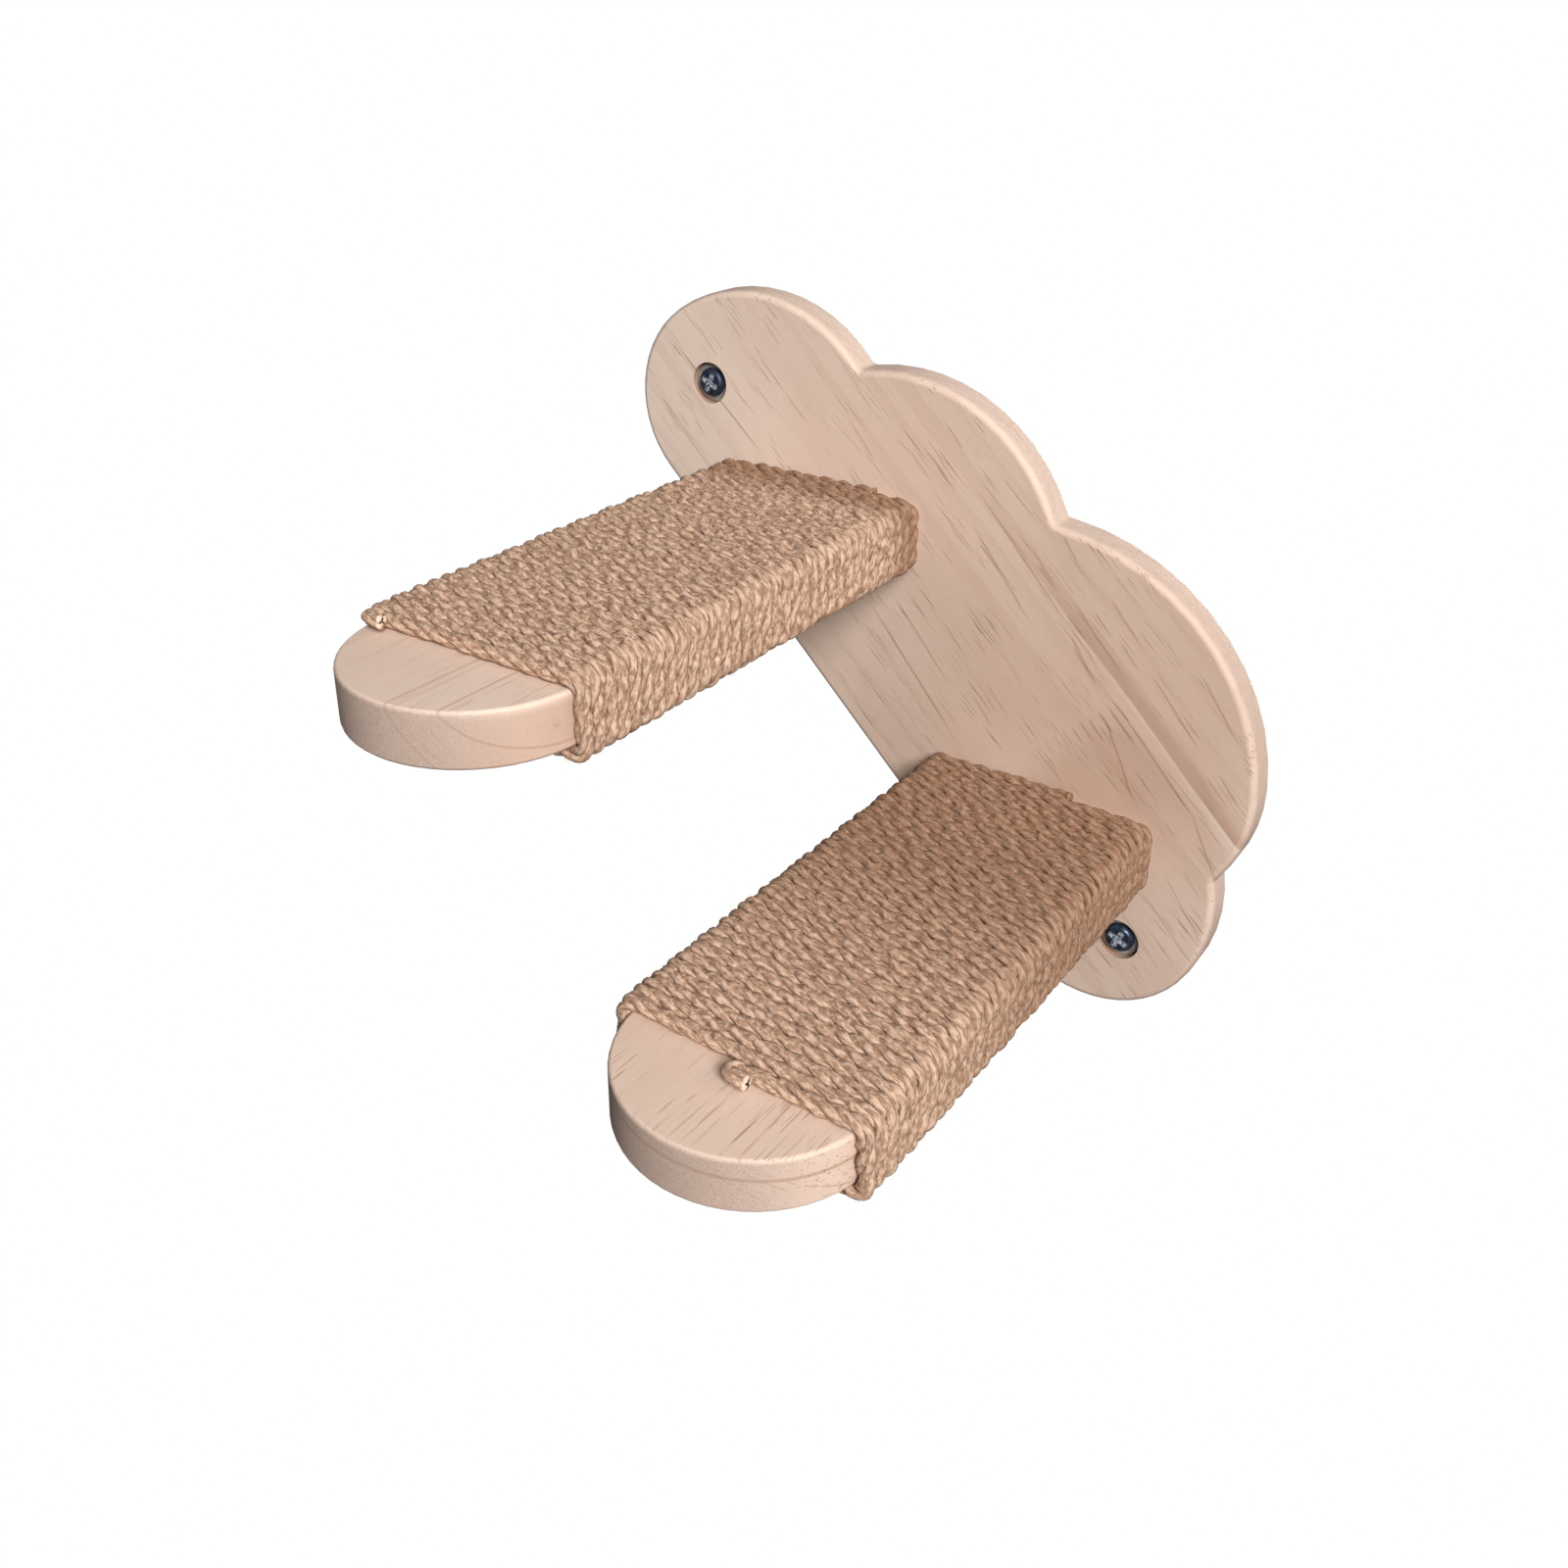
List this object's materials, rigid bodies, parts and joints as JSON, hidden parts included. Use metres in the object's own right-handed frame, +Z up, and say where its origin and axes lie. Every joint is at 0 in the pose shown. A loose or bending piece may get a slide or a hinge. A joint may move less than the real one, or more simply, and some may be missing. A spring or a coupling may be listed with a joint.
{
  "type": "wall-mounted cat ladder",
  "caption": "Wall-mounted cat ladder: a cloud-shaped wooden back plate carrying rope-wound plank steps, one above and beside the other.",
  "frame": {"origin": "point on the back plate's rear face, midway between the wall screws", "axes": "+Z up; +Y into the wall, out of the plate's rear face; the steps reach out along -Y; +X towards the lower step's side"},
  "size_m": [0.2919, 0.3002, 0.277],
  "materials": {
    "pine": "sanded, unvarnished",
    "beech": "raw",
    "jute_rope": "three-strand twisted natural fibre",
    "blued_steel": "dark blued",
    "zinc_plate": "dull zinc plating"
  },
  "bodies": {
    "root": {"back_plate": "pine", "upper_step_board": "pine", "lower_step_board": "pine", "upper_step_rope": "jute_rope", "lower_step_rope": "jute_rope", "upper_wall_screw": "blued_steel", "lower_wall_screw": "blued_steel", "upper_wall_screw_washer": "zinc_plate", "lower_wall_screw_washer": "zinc_plate", "upper_step_fixing_screw_left": "zinc_plate", "upper_step_fixing_screw_right": "zinc_plate", "lower_step_fixing_screw_left": "zinc_plate", "lower_step_fixing_screw_right": "zinc_plate", "upper_step_dowel_left": "beech", "upper_step_dowel_right": "beech", "lower_step_dowel_left": "beech", "lower_step_dowel_right": "beech"}
  },
  "joints": []
}
